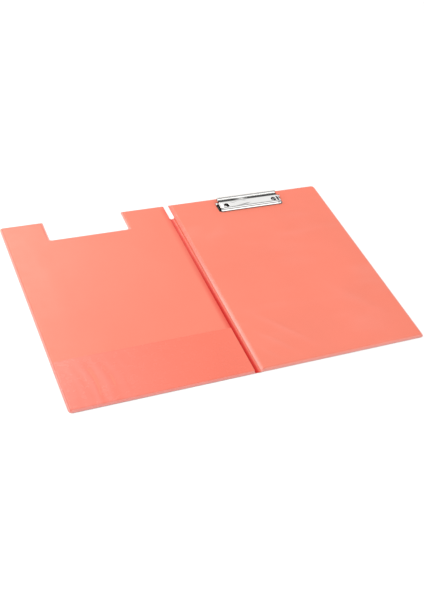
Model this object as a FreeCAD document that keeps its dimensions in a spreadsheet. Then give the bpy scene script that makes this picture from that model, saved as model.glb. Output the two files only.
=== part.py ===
"""Fold-over clipboard, lying open: a back board with a sprung steel clip, and a cover on a film spine.

The board and the cover are greyboard sealed between two sheets of soft plastic film. Between them only
the two films are left, welded face to face, and they fold along a line beside each board.

Frame, in millimetres: X runs across the open clipboard, cover at -X and back board at +X; Y runs up
towards the clip; Z is up. The origin is on the table, in the middle of the open clipboard.
"""
import FreeCAD
import Part
import math
import os

import Sketcher

# Driving dimensions. Each one becomes a cell of the sheet, and its name becomes the cell's alias.
SIZES = {
    # The whole clipboard.
    "half_height": 160.0,
    "half_width": 236.5,
    "outer_corner": 4.5,
    "film": 0.3,
    "weld_margin": 1.8,
    # The two fold lines, measured from the middle, and the room left beside each of them.
    "board_fold": 1.3,
    "cover_fold": 6.4,
    "fold_room": 0.35,
    # The back board.
    "board_core": 2.4,
    "board_run": 1.4,
    "board_shoulder": 5.5,
    "board_slope_foot": 2.6,
    # The cover and its notch for the clip.
    "cover_core": 1.8,
    "cover_run": 1.05,
    "cover_shoulder": 6.95,
    "notch_middle": 124.0,
    "notch_half": 55.0,
    "notch_depth": 37.0,
    "notch_corner": 3.0,
    "mouth_corner": 1.5,
    "core_gap": 0.15,
    # The pocket inside the cover.
    "pocket_film": 0.2,
    "pocket_height": 75.0,
    "pocket_edge": 7.2,
    # The relief slot at the top of the spine.
    "slot_depth": 29.5,
    "slot_radius": 3.6,
    # The clip. Its own distances run across from its middle and back from the top edge of the board.
    "clip_middle": 119.0,
    "jaw_sheet": 0.7,
    "jaw_half": 47.9,
    "jaw_plateau_half": 43.4,
    "jaw_side_drop": 0.6,
    "jaw_rise": 4.9,
    "lip_reach": 31.9,
    "lip_run": 3.2,
    "lip_tip": 0.6,
    "lip_width": 0.87,
    "lip_inner_run": 2.68,
    "jaw_front_end": 19.0,
    "crease_start": 15.4,
    "crease_reach": 13.5,
    "crease_drop": 0.7,
    "bead_half": 46.6,
    "bead_reach": 8.6,
    "bead_rise": 4.4,
    "bead_radius": 1.9,
    "bead_neck_front": 0.6,
    "bead_neck_low": 1.7,
    "bead_neck_back": 1.6,
    "bead_neck_high": 0.4,
    "look_hole": 7.6,
    "base_sheet": 0.6,
    "base_half": 50.4,
    "base_front": 30.8,
    "base_back": 11.5,
    "base_corner": 2.0,
    "ear_half": 2.0,
    "ear_over_rod": 1.5,
    "jaw_ear_out": 46.6,
    # The hinge rod and the springs on it.
    "rod_reach": 16.6,
    "rod_rise": 2.4,
    "rod_diameter": 2.0,
    "rod_half": 51.2,
    "rod_chamfer": 0.25,
    "tight_bore": 2.04,
    "running_bore": 2.12,
    "spring_middle": 22.0,
    "spring_wire": 0.7,
    "spring_coil": 1.4,
    "spring_pitch": 0.75,
    "spring_turns": 8.569,
    "spring_half": 3.0,
    "spring_leg": 3.5,
    "spring_joint": 0.3,
    # The rivets and their washers.
    "rivet_spread": 37.5,
    "rivet_reach": 24.0,
    "shank_radius": 1.9,
    "shank_hole": 4.0,
    "head_radius": 3.2,
    "head_rim": 0.6,
    "head_rise": 2.2,
    "head_flat": 1.9,
    "tail_radius": 2.9,
    "tail_rise": 0.4,
    "washer_diameter": 9.0,
    "washer_well": 9.4,
    "washer_sheet": 0.4,
}

UPRIGHT = FreeCAD.Vector(0, 0, 1)

doc = FreeCAD.newDocument("Clipboard")
sheet = doc.addObject("Spreadsheet::Sheet", "Sizes")
for row, (name, size) in enumerate(SIZES.items(), start=1):
    sheet.set(f"A{row}", name)
    sheet.set(f"B{row}", str(size))
    sheet.setAlias(f"B{row}", name)
doc.recompute()


def terms(total):
    """Split a sum such as 'half_width - 2 weld_margin' into (sign, factor, name or None) terms."""
    found = []
    sign, factor = 1, 1.0
    for word in total.split():
        if word in ("+", "-"):
            sign, factor = (1 if word == "+" else -1), 1.0
        elif word in SIZES:
            found.append((sign, factor, word))
        else:
            factor = float(word)
    return found


def value(total):
    """The value of a sum of sizes."""
    return sum(sign * factor * SIZES[name] for sign, factor, name in terms(total))


def formula(total):
    """The same sum, as an expression on the sheet."""
    return " + ".join(f"{sign * factor:g} * Sizes.{name}" for sign, factor, name in terms(total))


def bind(thing, path, total):
    """Drive one property of a thing with a sum of sizes."""
    thing.setExpression(path, formula(total))


def new_body(label, x=None, y=None, z=None):
    """A body with its label, placed by sums of sizes."""
    body = doc.addObject("PartDesign::Body", label)
    body.Label = label
    for axis, total in (("x", x), ("y", y), ("z", z)):
        if total:
            bind(body, f"Placement.Base.{axis}", total)
    return body


def new_sketch(body, name, plane="XY_Plane", offset=None):
    """A sketch on one of the body's origin planes, lifted off it by a sum of sizes."""
    sketch = body.newObject("Sketcher::SketchObject", name)
    origin_plane = next(feature for feature in body.Origin.OriginFeatures if feature.Role == plane)
    sketch.AttachmentSupport = [(origin_plane, "")]
    sketch.MapMode = "FlatFace"
    if offset:
        bind(sketch, "AttachmentOffset.Base.z", offset)
    return sketch


def constrain(sketch, total, kind, *places):
    """Add a constraint whose value is a sum of sizes."""
    index = sketch.addConstraint(Sketcher.Constraint(kind, *places, value(total)))
    sketch.renameConstraint(index, f"{kind}{index}")
    bind(sketch, f"Constraints.{kind}{index}", total)


def draw_outline(sketch, corners):
    """Draw a closed outline of lines along the sketch's axes, anticlockwise.

    Each corner is (x, y, radius), all of them sums of sizes, and a radius of None is a sharp corner.
    """
    points = [FreeCAD.Vector(value(x), value(y), 0) for x, y, _ in corners]
    radii = [value(radius) if radius else 0.0 for _, _, radius in corners]
    count = len(corners)
    headings = [(points[(i + 1) % count] - points[i]).normalize() for i in range(count)]
    lines = []
    for i, heading in enumerate(headings):
        start = points[i] + heading * radii[i]
        end = points[(i + 1) % count] - heading * radii[(i + 1) % count]
        lines.append(sketch.addGeometry(Part.LineSegment(start, end)))
        level = abs(heading.x) > abs(heading.y)
        sketch.addConstraint(Sketcher.Constraint("Horizontal" if level else "Vertical", lines[i]))
        across, kind = (1, "DistanceY") if level else (0, "DistanceX")
        constrain(sketch, corners[i][across], kind, -1, 1, lines[i], 1)
    for i, radius in enumerate(radii):
        before, after = headings[i - 1], headings[i]
        if not radius:
            sketch.addConstraint(Sketcher.Constraint("Coincident", lines[i - 1], 2, lines[i], 1))
            continue
        centre = points[i] - before * radius + after * radius
        left_turn = before.cross(after).z > 0
        spokes = (after * -1, before) if left_turn else (before, after * -1)
        first, last = (math.atan2(spoke.y, spoke.x) for spoke in spokes)
        if last < first:
            last += 2 * math.pi
        circle = Part.Circle(centre, UPRIGHT, radius)
        arc = sketch.addGeometry(Part.ArcOfCircle(circle, first, last))
        arrive, leave = (1, 2) if left_turn else (2, 1)
        sketch.addConstraint(Sketcher.Constraint("Tangent", lines[i - 1], 2, arc, arrive))
        sketch.addConstraint(Sketcher.Constraint("Tangent", arc, leave, lines[i], 1))
        constrain(sketch, corners[i][2], "Radius", arc)


def draw_polygon(sketch, points):
    """Draw a closed polygon through points given as sums of sizes; None stands for the axis itself."""
    places = [FreeCAD.Vector(value(x or ""), value(y or ""), 0) for x, y in points]
    count = len(points)
    lines = [sketch.addGeometry(Part.LineSegment(places[i], places[(i + 1) % count])) for i in range(count)]
    for i, (x, y) in enumerate(points):
        sketch.addConstraint(Sketcher.Constraint("Coincident", lines[i - 1], 2, lines[i], 1))
        for total, kind, axis in ((x, "DistanceX", -2), (y, "DistanceY", -1)):
            if total:
                constrain(sketch, total, kind, -1, 1, lines[i], 1)
            else:
                sketch.addConstraint(Sketcher.Constraint("PointOnObject", lines[i], 1, axis))


def draw_circle(sketch, x, y, diameter):
    """Draw a circle from sums of sizes."""
    centre = FreeCAD.Vector(value(x or ""), value(y or ""), 0)
    circle = sketch.addGeometry(Part.Circle(centre, UPRIGHT, value(diameter) / 2))
    for total, kind, axis in ((x, "DistanceX", -2), (y, "DistanceY", -1)):
        if total:
            constrain(sketch, total, kind, -1, 1, circle, 3)
        else:
            sketch.addConstraint(Sketcher.Constraint("PointOnObject", circle, 3, axis))
    constrain(sketch, diameter, "Diameter", circle)


def extrude(body, kind, sketch, length, symmetric=False, reverse=False):
    """Pad or pocket a sketch by a sum of sizes."""
    feature = body.newObject(f"PartDesign::{kind}", f"{kind}_{sketch.Name}")
    feature.Profile = sketch
    feature.SideType = "Symmetric" if symmetric else "One side"
    feature.Reversed = reverse
    bind(feature, "Length", length)
    doc.recompute()
    return feature


def pad(body, sketch, length, symmetric=False, reverse=False):
    """Add the sketch's shape, this long."""
    return extrude(body, "Pad", sketch, length, symmetric, reverse)


def pocket(body, sketch, length, symmetric=False, reverse=False):
    """Cut the sketch's shape, this deep, and make sure that it did cut."""
    before = body.Shape.Volume
    feature = extrude(body, "Pocket", sketch, length, symmetric, reverse)
    if body.Shape.Volume > before - 1e-6:
        raise ValueError(f"{feature.Name} cuts nothing from {body.Label}")
    return feature


def loft(body, kind, base, top):
    """Join two outlines with straight sides, to add or to cut."""
    feature = body.newObject(f"PartDesign::{kind}Loft", f"{kind}_{base.Name}")
    feature.Profile = base
    feature.Sections = [top]
    feature.Ruled = True
    doc.recompute()
    return feature


def mirror(body, feature):
    """Repeat a feature on the other side of the body's YZ plane."""
    copy = body.newObject("PartDesign::Mirrored", f"Mirrored_{feature.Name}")
    copy.Originals = [feature]
    yz_plane = next(part for part in body.Origin.OriginFeatures if part.Role == "YZ_Plane")
    copy.MirrorPlane = (yz_plane, [""])
    body.Tip = copy
    doc.recompute()
    return copy


# ---- the outlines of the two boards, from above ----

def board_outline(left, inset, corner):
    """The back board's outline, inset from its outer edges, with its left edge given."""
    right, low, high = f"half_width {inset}", f"- half_height {flip(inset)}", f"half_height {inset}"
    return [(left, low, None), (right, low, corner), (right, high, corner), (left, high, None)]


def cover_outline(right, inset, corner, notch_corner, mouth_corner):
    """The cover's outline, with the clip's notch in its top edge, inset from its edges."""
    left, low, high = f"- half_width {flip(inset)}", f"- half_height {flip(inset)}", f"half_height {inset}"
    notch_left = f"- notch_middle - notch_half {inset}"
    notch_right = f"- notch_middle + notch_half {flip(inset)}"
    floor = f"half_height - notch_depth {inset}"
    return [
        (left, low, corner), (right, low, None), (right, high, None),
        (notch_right, high, mouth_corner), (notch_right, floor, notch_corner),
        (notch_left, floor, notch_corner), (notch_left, high, mouth_corner),
        (left, high, corner),
    ]


def flip(total):
    """The same sum with its signs the other way round."""
    return total.translate(str.maketrans("+-", "-+"))


def cut_rivet_holes(body, diameter, depth, z=None):
    """Cut a hole for each rivet, upwards from a height in the body's own frame."""
    sketch = new_sketch(body, f"{body.Name}_holes_{diameter}", offset=z)
    for side in ("-", "+"):
        draw_circle(sketch, f"clip_middle {side} rivet_spread", "half_height - rivet_reach", diameter)
    return pocket(body, sketch, depth, reverse=True)


# ---- the back board ----

BOARD_EDGE = "board_fold + fold_room"
COVER_EDGE = "- cover_fold - fold_room"
INSIDE_BOARD_FILM = "- weld_margin - board_run - core_gap - core_gap"
INSIDE_COVER_FILM = "- weld_margin - cover_run - core_gap - core_gap"


def make_back_core():
    """Greyboard, with a hole for each rivet and a well below it for the washer."""
    body = new_body("back_core_board", z="film")
    sketch = new_sketch(body, "back_core_outline")
    draw_outline(sketch, board_outline("board_shoulder + 2 core_gap", INSIDE_BOARD_FILM, "outer_corner"))
    pad(body, sketch, "board_core")
    cut_rivet_holes(body, "shank_hole", "board_core")
    cut_rivet_holes(body, "washer_well", "tail_rise + washer_sheet - film")


def make_back_outer_film():
    """The flat sheet under the board."""
    body = new_body("back_outer_film")
    sketch = new_sketch(body, "back_outer_outline")
    draw_outline(sketch, board_outline(BOARD_EDGE, "", "outer_corner"))
    pad(body, sketch, "film")
    cut_rivet_holes(body, "washer_well", "film")


def make_back_inner_film():
    """The sheet over the board: welded margin, walls up its sides and a long slope to the spine."""
    body = new_body("back_inner_film", z="film")
    margin = new_sketch(body, "back_margin")
    draw_outline(margin, board_outline(BOARD_EDGE, "", "outer_corner"))
    pad(body, margin, "film")
    foot = new_sketch(body, "back_wall_foot", offset="film")
    draw_outline(foot, board_outline(BOARD_EDGE + " + core_gap", "- weld_margin", "outer_corner"))
    head = new_sketch(body, "back_wall_head", offset="board_core + film")
    draw_outline(head, board_outline("board_shoulder", "- weld_margin - board_run", "outer_corner"))
    loft(body, "Additive", foot, head)
    inner_foot = new_sketch(body, "back_hollow_foot")
    draw_outline(inner_foot, board_outline("board_slope_foot", "- weld_margin - film", "outer_corner"))
    inner_head = new_sketch(body, "back_hollow_head", offset="board_core")
    draw_outline(
        inner_head,
        board_outline("board_shoulder + core_gap", "- weld_margin - board_run - core_gap", "outer_corner")
    )
    loft(body, "Subtractive", inner_foot, inner_head)
    cut_rivet_holes(body, "shank_hole", "film", z="board_core")


# ---- the spine: two strips of film, with round edges on the fold lines ----

def make_spine_film(label, z, fold_side):
    """One of the spine's two films. Its edges are quarter rounds about the fold lines."""
    body = new_body(label, z=z)
    section = new_sketch(body, f"{label}_section", plane="XZ_Plane")
    radius = value("film")
    left, right = -value("cover_fold"), value("board_fold")
    seam = radius if fold_side == "top" else 0.0
    face = radius - seam
    seam_line = section.addGeometry(
        Part.LineSegment(FreeCAD.Vector(left - radius, seam, 0), FreeCAD.Vector(right + radius, seam, 0))
    )
    face_line = section.addGeometry(
        Part.LineSegment(FreeCAD.Vector(left, face, 0), FreeCAD.Vector(right, face, 0))
    )
    quarter = math.pi / 2
    left_start, right_start = (2 * quarter, 3 * quarter) if fold_side == "top" else (quarter, 0.0)
    arcs = {}
    for name, x, start in (("left", left, left_start), ("right", right, right_start)):
        circle = Part.Circle(FreeCAD.Vector(x, seam, 0), UPRIGHT, radius)
        arcs[name] = section.addGeometry(Part.ArcOfCircle(circle, start, start + quarter))
    seam_at_left, seam_at_right = (1, 2) if fold_side == "top" else (2, 1)
    for arc, seam_end, line_end in ((arcs["left"], seam_at_left, 1), (arcs["right"], seam_at_right, 2)):
        face_end = 3 - seam_end
        section.addConstraint(Sketcher.Constraint("Coincident", seam_line, line_end, arc, seam_end))
        section.addConstraint(Sketcher.Constraint("Coincident", face_line, line_end, arc, face_end))
        section.addConstraint(Sketcher.Constraint("PointOnObject", arc, 3, seam_line))
        section.addConstraint(Sketcher.Constraint("Vertical", arc, 3, arc, face_end))
    section.addConstraint(Sketcher.Constraint("Horizontal", seam_line))
    constrain(section, "film", "Radius", arcs["left"])
    constrain(section, "- cover_fold", "DistanceX", -1, 1, arcs["left"], 3)
    constrain(section, "board_fold", "DistanceX", -1, 1, arcs["right"], 3)
    if fold_side == "top":
        constrain(section, "film", "DistanceY", -1, 1, seam_line, 1)
    else:
        section.addConstraint(Sketcher.Constraint("PointOnObject", seam_line, 1, -1))
    pad(body, section, "2 half_height", symmetric=True)
    cut_relief_slot(body)


def cut_relief_slot(body):
    """Cut the open round-bottomed slot at the top of the spine, between the two boards."""
    middle = "0.5 board_fold - 0.5 cover_fold"
    bottom = new_sketch(body, f"{body.Name}_slot_bottom")
    draw_circle(bottom, middle, "half_height - slot_depth + slot_radius", "2 slot_radius")
    pocket(body, bottom, "film", reverse=True)
    mouth = new_sketch(body, f"{body.Name}_slot_mouth")
    low, high = "half_height - slot_depth + slot_radius", "half_height + slot_radius"
    left, right = "- cover_fold - slot_radius", "board_fold + slot_radius"
    draw_outline(mouth, [(left, low, None), (right, low, None), (right, high, None), (left, high, None)])
    pocket(body, mouth, "film", reverse=True)


# ---- the cover ----

def make_cover_core():
    """Greyboard with the notch that lets the clip through when the cover is shut."""
    body = new_body("cover_core_board", z="film")
    sketch = new_sketch(body, "cover_core_outline")
    right = "- cover_shoulder - 2 core_gap"
    draw_outline(sketch, cover_outline(right, INSIDE_COVER_FILM, "outer_corner", "outer_corner", "core_gap"))
    pad(body, sketch, "cover_core")


def make_cover_outer_film():
    """The flat sheet under the cover."""
    body = new_body("cover_outer_film")
    sketch = new_sketch(body, "cover_outer_outline")
    draw_outline(sketch, cover_outline(COVER_EDGE, "", "outer_corner", "notch_corner", "mouth_corner"))
    pad(body, sketch, "film")


def make_cover_inner_film():
    """The sheet over the cover: a welded margin and walls up the board's sides."""
    body = new_body("cover_inner_film", z="film")
    margin = new_sketch(body, "cover_margin")
    draw_outline(margin, cover_outline(COVER_EDGE, "", "outer_corner", "notch_corner", "mouth_corner"))
    pad(body, margin, "film")
    foot = new_sketch(body, "cover_wall_foot", offset="film")
    draw_outline(foot, cover_outline(COVER_EDGE, "- weld_margin", "outer_corner", "outer_corner", "film"))
    head = new_sketch(body, "cover_wall_head", offset="cover_core + film")
    inset = "- weld_margin - cover_run"
    draw_outline(head, cover_outline("- cover_shoulder", inset, "outer_corner", "outer_corner", "film"))
    loft(body, "Additive", foot, head)
    inner_foot = new_sketch(body, "cover_hollow_foot")
    inset = "- weld_margin - film"
    right = COVER_EDGE + " - film"
    draw_outline(inner_foot, cover_outline(right, inset, "outer_corner", "outer_corner", "core_gap"))
    inner_head = new_sketch(body, "cover_hollow_head", offset="cover_core")
    inset = "- weld_margin - cover_run - core_gap"
    right = "- cover_shoulder - 1.5 core_gap"
    draw_outline(inner_head, cover_outline(right, inset, "outer_corner", "outer_corner", "core_gap"))
    loft(body, "Subtractive", inner_foot, inner_head)


def pocket_outline(right, top, inset):
    """The pocket's outline: square to the spine and at its mouth, rounded at the outer corner."""
    left, low = f"- half_width {flip(inset)}", f"- half_height {flip(inset)}"
    mouth = f"- half_height + pocket_height {top}"
    return [(left, low, "outer_corner"), (right, low, None), (right, mouth, None), (left, mouth, None)]


def make_cover_pocket():
    """The pocket across the foot of the cover: welded at the foot and the side, open at its mouth."""
    body = new_body("cover_pocket_film", z="2 film")
    right = "- pocket_edge"
    margin = new_sketch(body, "pocket_margin")
    draw_outline(margin, pocket_outline(right, "", ""))
    pad(body, margin, "pocket_film")
    foot = new_sketch(body, "pocket_wall_foot", offset="pocket_film")
    draw_outline(foot, pocket_outline(right, "", "- weld_margin + pocket_film"))
    head = new_sketch(body, "pocket_wall_head", offset="cover_core + pocket_film")
    draw_outline(head, pocket_outline(right, "", "- weld_margin - cover_run + pocket_film"))
    loft(body, "Additive", foot, head)
    past_right, past_top = "- pocket_edge + weld_margin", "+ weld_margin"
    inner_foot = new_sketch(body, "pocket_hollow_foot")
    draw_outline(inner_foot, pocket_outline(past_right, past_top, "- weld_margin"))
    inner_head = new_sketch(body, "pocket_hollow_head", offset="cover_core")
    draw_outline(inner_head, pocket_outline(past_right, past_top, "- weld_margin - cover_run"))
    loft(body, "Subtractive", inner_foot, inner_head)


# ---- the clip ----

BOARD_TOP = "board_core + 2 film"


def clip_body(label):
    """A body in the clip's own frame: across its middle, back to the board's top edge, up from it."""
    return new_body(label, x="clip_middle", y="half_height", z=BOARD_TOP)


def jaw_section(drop):
    """The section of the jaw's sheet from its sloping lip to the end of its front part.

    The drop is a sum of sizes that lowers all but the lip's tip.
    """
    top, under = f"jaw_rise {drop}", f"jaw_rise - jaw_sheet {drop}"
    inner_tip = "- lip_reach + lip_width"
    return [
        ("- lip_reach", None), (inner_tip, None),
        (inner_tip, "lip_tip"), (inner_tip + " + lip_inner_run", under),
        ("- jaw_front_end", under), ("- jaw_front_end", top), ("- lip_reach + lip_run", top),
        ("- lip_reach", "lip_tip"),
    ]


def ear_outline(base, bottom, crown):
    """An upright ear about the hinge rod, rounded over it or under it."""
    front, back = "- rod_reach - ear_half", "- rod_reach + ear_half"
    return [
        (front, base, "ear_over_rod" if bottom else None), (back, base, "ear_over_rod" if bottom else None),
        (back, crown, None if bottom else "ear_over_rod"),
        (front, crown, None if bottom else "ear_over_rod"),
    ]


def add_ears(body, name, inner_face, thickness, outline, bore):
    """A pair of ears with one bore through both."""
    sketch = new_sketch(body, f"{name}_ear", plane="YZ_Plane", offset=inner_face)
    draw_outline(sketch, outline)
    mirror(body, pad(body, sketch, thickness))
    hole = new_sketch(body, f"{name}_bore", plane="YZ_Plane")
    draw_circle(hole, "- rod_reach", "rod_rise", bore)
    pocket(body, hole, "2 rod_half", symmetric=True)


def make_jaw():
    """The sprung jaw: a pressed steel plate with a lip in front, a crease and a rolled bead at the back."""
    body = clip_body("clip_jaw_plate")
    front = new_sketch(body, "jaw_front_section", plane="YZ_Plane")
    draw_polygon(front, jaw_section(""))
    pad(body, front, "2 jaw_plateau_half", symmetric=True)
    side_start = new_sketch(body, "jaw_side_start", plane="YZ_Plane", offset="jaw_plateau_half")
    draw_polygon(side_start, jaw_section(""))
    side_end = new_sketch(body, "jaw_side_end", plane="YZ_Plane", offset="jaw_half")
    draw_polygon(side_end, jaw_section("- jaw_side_drop"))
    mirror(body, loft(body, "Additive", side_start, side_end))

    rear = new_sketch(body, "jaw_rear_section", plane="YZ_Plane")
    top, under = "jaw_rise", "jaw_rise - jaw_sheet"
    draw_polygon(rear, [
        ("- jaw_front_end - jaw_sheet", under), ("- crease_start", under),
        ("- crease_reach", under + " - crease_drop"),
        ("- bead_reach - bead_neck_front", "bead_rise - bead_neck_low"),
        ("- bead_reach - bead_neck_back", "bead_rise - bead_neck_high"),
        ("- crease_reach", top + " - crease_drop"), ("- crease_start", top),
        ("- jaw_front_end - jaw_sheet", top),
    ])
    pad(body, rear, "2 bead_half", symmetric=True)
    bead = new_sketch(body, "jaw_bead", plane="YZ_Plane")
    draw_circle(bead, "- bead_reach", "bead_rise", "2 bead_radius")
    pad(body, bead, "2 bead_half", symmetric=True)
    roll = new_sketch(body, "jaw_bead_roll", plane="YZ_Plane")
    draw_circle(roll, "- bead_reach", "bead_rise", "2 bead_radius - 2 jaw_sheet")
    pocket(body, roll, "2 jaw_half", symmetric=True)

    outline = ear_outline("rod_rise - ear_over_rod", True, "jaw_rise - 0.5 jaw_sheet")
    add_ears(body, "jaw", "jaw_ear_out - jaw_sheet", "jaw_sheet", outline, "running_bore")
    holes = new_sketch(body, "jaw_look_holes", offset="0.5 jaw_rise")
    for side in ("-", "+"):
        draw_circle(holes, f"{side} rivet_spread", "- rivet_reach", "look_hole")
    pocket(body, holes, "jaw_rise", reverse=True)


def make_base_plate():
    """The flat plate that is riveted down, with an ear turned up at each end for the rod."""
    body = clip_body("clip_base_plate")
    sketch = new_sketch(body, "base_outline")
    left, right, low, high = "- base_half", "base_half", "- base_front", "- base_back"
    corner = "base_corner"
    draw_outline(
        sketch, [(left, low, corner), (right, low, corner), (right, high, corner), (left, high, corner)]
    )
    pad(body, sketch, "base_sheet")
    outline = ear_outline("0.5 base_sheet", False, "rod_rise + ear_over_rod")
    add_ears(body, "base", "base_half - base_sheet", "base_sheet", outline, "tight_bore")
    holes = new_sketch(body, "base_rivet_holes")
    for side in ("-", "+"):
        draw_circle(holes, f"{side} rivet_spread", "- rivet_reach", "shank_hole")
    pocket(body, holes, "base_sheet", reverse=True)


def make_rod():
    """The hinge rod through all four ears."""
    body = clip_body("clip_hinge_rod")
    sketch = new_sketch(body, "rod_section", plane="YZ_Plane")
    draw_circle(sketch, "- rod_reach", "rod_rise", "rod_diameter")
    rod = pad(body, sketch, "2 rod_half", symmetric=True)
    ends = [f"Edge{i}" for i, edge in enumerate(body.Shape.Edges, start=1) if edge.Closed]
    chamfer = body.newObject("PartDesign::Chamfer", "rod_ends")
    chamfer.Base = (rod, ends)
    bind(chamfer, "Size", "rod_chamfer")


def make_rivet(side, sign):
    """A rivet with a low head on the base plate and its tail rolled over the washer."""
    body = new_body(f"clip_rivet_{side}", x=f"clip_middle {sign} rivet_spread", y="half_height - rivet_reach")
    sketch = new_sketch(body, f"rivet_section_{side}", plane="XZ_Plane")
    seat = BOARD_TOP + " + base_sheet"
    draw_polygon(sketch, [
        (None, None), ("tail_radius", None), ("tail_radius", "tail_rise"), ("shank_radius", "tail_rise"),
        ("shank_radius", seat), ("head_radius", seat), ("head_radius", seat + " + head_rim"),
        ("head_flat", seat + " + head_rise"), (None, seat + " + head_rise"),
    ])
    turned = body.newObject("PartDesign::Revolution", f"rivet_{side}")
    turned.Profile = sketch
    turned.ReferenceAxis = (sketch, ["V_Axis"])
    turned.Angle = 360.0


def make_washer(side, sign):
    """A flat washer sunk into the underside of the board."""
    body = new_body(
        f"clip_washer_{side}",
        x=f"clip_middle {sign} rivet_spread", y="half_height - rivet_reach", z="tail_rise"
    )
    sketch = new_sketch(body, f"washer_section_{side}")
    draw_circle(sketch, None, None, "washer_diameter")
    draw_circle(sketch, None, None, "shank_hole")
    pad(body, sketch, "washer_sheet")


SPRING_START = 155.0    # degrees round from straight down, towards the back, where the upper leg leaves


def make_spring(side, sign):
    """A torsion spring on the rod. Both legs point back: one on the base plate, one under the jaw."""
    turn = FreeCAD.Rotation(FreeCAD.Vector(1, 0, 0), SPRING_START - 90)
    start_turn = turn.multiply(FreeCAD.Rotation(FreeCAD.Vector(0, 1, 0), 90).multiply(
        FreeCAD.Rotation(UPRIGHT, 90)))
    out = start_turn.multVec(FreeCAD.Vector(1, 0, 0))
    ahead = start_turn.multVec(FreeCAD.Vector(0, 1, 0))

    coil_line = doc.addObject("Part::Helix", f"spring_line_{side}")
    coil_line.Placement = FreeCAD.Placement(FreeCAD.Vector(), start_turn)
    bind(coil_line, "Pitch", "spring_pitch")
    bind(coil_line, "Radius", "spring_coil")
    coil_line.setExpression("Height", "Sizes.spring_pitch * Sizes.spring_turns")
    section = doc.addObject("Part::Circle", f"spring_section_{side}")
    facing = FreeCAD.Rotation(UPRIGHT, ahead)
    section.Placement = FreeCAD.Placement(out * value("spring_coil"), facing)
    bind(section, "Radius", "0.5 spring_wire")
    coil = doc.addObject("Part::Sweep", f"spring_coil_{side}")
    coil.Sections = [section]
    coil.Spine = (coil_line, [])
    coil.Solid = True
    coil.Frenet = True

    upper = doc.addObject("Part::Cylinder", f"spring_upper_leg_{side}")
    back = FreeCAD.Rotation(UPRIGHT, ahead * -1)
    joint = value("spring_joint")
    upper.Placement = FreeCAD.Placement(out * value("spring_coil") + ahead * joint, back)
    lower = doc.addObject("Part::Cylinder", f"spring_lower_leg_{side}")
    coil_length = value("spring_pitch") * SIZES["spring_turns"]
    foot = FreeCAD.Vector(coil_length, -joint, -value("spring_coil"))
    downhill = FreeCAD.Rotation(UPRIGHT, FreeCAD.Vector(0, 1, 0))
    lower.Placement = FreeCAD.Placement(foot, downhill)
    for leg in (upper, lower):
        bind(leg, "Radius", "0.5 spring_wire")
        bind(leg, "Height", "spring_leg")
    spring = doc.addObject("Part::MultiFuse", f"clip_spring_{side}")
    spring.Label = f"clip_spring_{side}"
    spring.Shapes = [coil, upper, lower]
    spring.Placement.Base = FreeCAD.Vector(
        value(f"clip_middle {sign} spring_middle - spring_half"),
        value("half_height - rod_reach"), value(BOARD_TOP + " + rod_rise"),
    )
    return spring


make_back_core()
make_back_outer_film()
make_back_inner_film()
make_spine_film("spine_outer_film", None, "top")
make_spine_film("spine_inner_film", "film", "bottom")
make_cover_core()
make_cover_outer_film()
make_cover_inner_film()
make_cover_pocket()
make_base_plate()
make_rod()
make_jaw()
springs = []
for side, sign in (("left", "-"), ("right", "+")):
    make_rivet(side, sign)
    make_washer(side, sign)
    springs.append(make_spring(side, sign))
doc.recompute()

for thing in doc.Objects:
    if "Invalid" in thing.State or "Error" in thing.State:
        raise ValueError(f"{thing.Label} did not compute")
nodes = [thing for thing in doc.Objects if thing.TypeId == "PartDesign::Body"] + springs
os.makedirs("parts", exist_ok=True)
for node in nodes:
    shape = node.Shape
    if shape.isNull() or not shape.isValid() or len(shape.Solids) != 1:
        raise ValueError(f"{node.Label} is not one valid solid")
    shape.exportStep(f"parts/{node.Label}.step")
    box = shape.optimalBoundingBox(False)
    print(f"{node.Label:20s} {shape.Volume:10.1f} mm3  X {box.XMin:8.2f} {box.XMax:8.2f}"
          f"  Y {box.YMin:8.2f} {box.YMax:8.2f}  Z {box.ZMin:6.2f} {box.ZMax:6.2f}")
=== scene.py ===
import math

import bpy
import numpy as np
from mathutils import Matrix, Vector, geometry, noise


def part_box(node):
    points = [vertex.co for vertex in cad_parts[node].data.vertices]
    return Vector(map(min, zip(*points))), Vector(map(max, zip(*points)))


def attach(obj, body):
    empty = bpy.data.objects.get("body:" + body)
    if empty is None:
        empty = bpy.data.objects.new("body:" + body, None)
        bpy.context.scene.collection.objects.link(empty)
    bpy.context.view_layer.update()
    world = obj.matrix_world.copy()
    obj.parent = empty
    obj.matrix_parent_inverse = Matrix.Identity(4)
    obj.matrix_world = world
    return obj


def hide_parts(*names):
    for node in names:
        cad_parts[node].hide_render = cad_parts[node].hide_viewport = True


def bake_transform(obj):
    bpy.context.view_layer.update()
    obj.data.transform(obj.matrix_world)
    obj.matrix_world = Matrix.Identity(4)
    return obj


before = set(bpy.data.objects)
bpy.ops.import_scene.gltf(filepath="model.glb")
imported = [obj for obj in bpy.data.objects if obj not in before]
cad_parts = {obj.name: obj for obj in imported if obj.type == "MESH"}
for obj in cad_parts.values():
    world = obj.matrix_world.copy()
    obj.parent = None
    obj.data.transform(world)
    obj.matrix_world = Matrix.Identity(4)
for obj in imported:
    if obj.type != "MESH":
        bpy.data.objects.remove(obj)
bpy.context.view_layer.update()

MM = 0.001
QUARTER = math.pi / 2


def box(node):
    """The lowest and highest corners of a CAD node."""
    low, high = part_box(node)
    return low / MM, high / MM


# ---- sizes, most of them read from the frame ----

BACK_LOW, BACK_HIGH = box("back_inner_film")
COVER_LOW, COVER_HIGH = box("cover_inner_film")
POCKET_LOW, POCKET_HIGH = box("cover_pocket_film")
SPINE_LOW, SPINE_HIGH = box("spine_outer_film")
JAW_LOW, JAW_HIGH = box("clip_jaw_plate")
BASE_LOW, BASE_HIGH = box("clip_base_plate")
ROD_LOW, ROD_HIGH = box("clip_hinge_rod")

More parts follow.
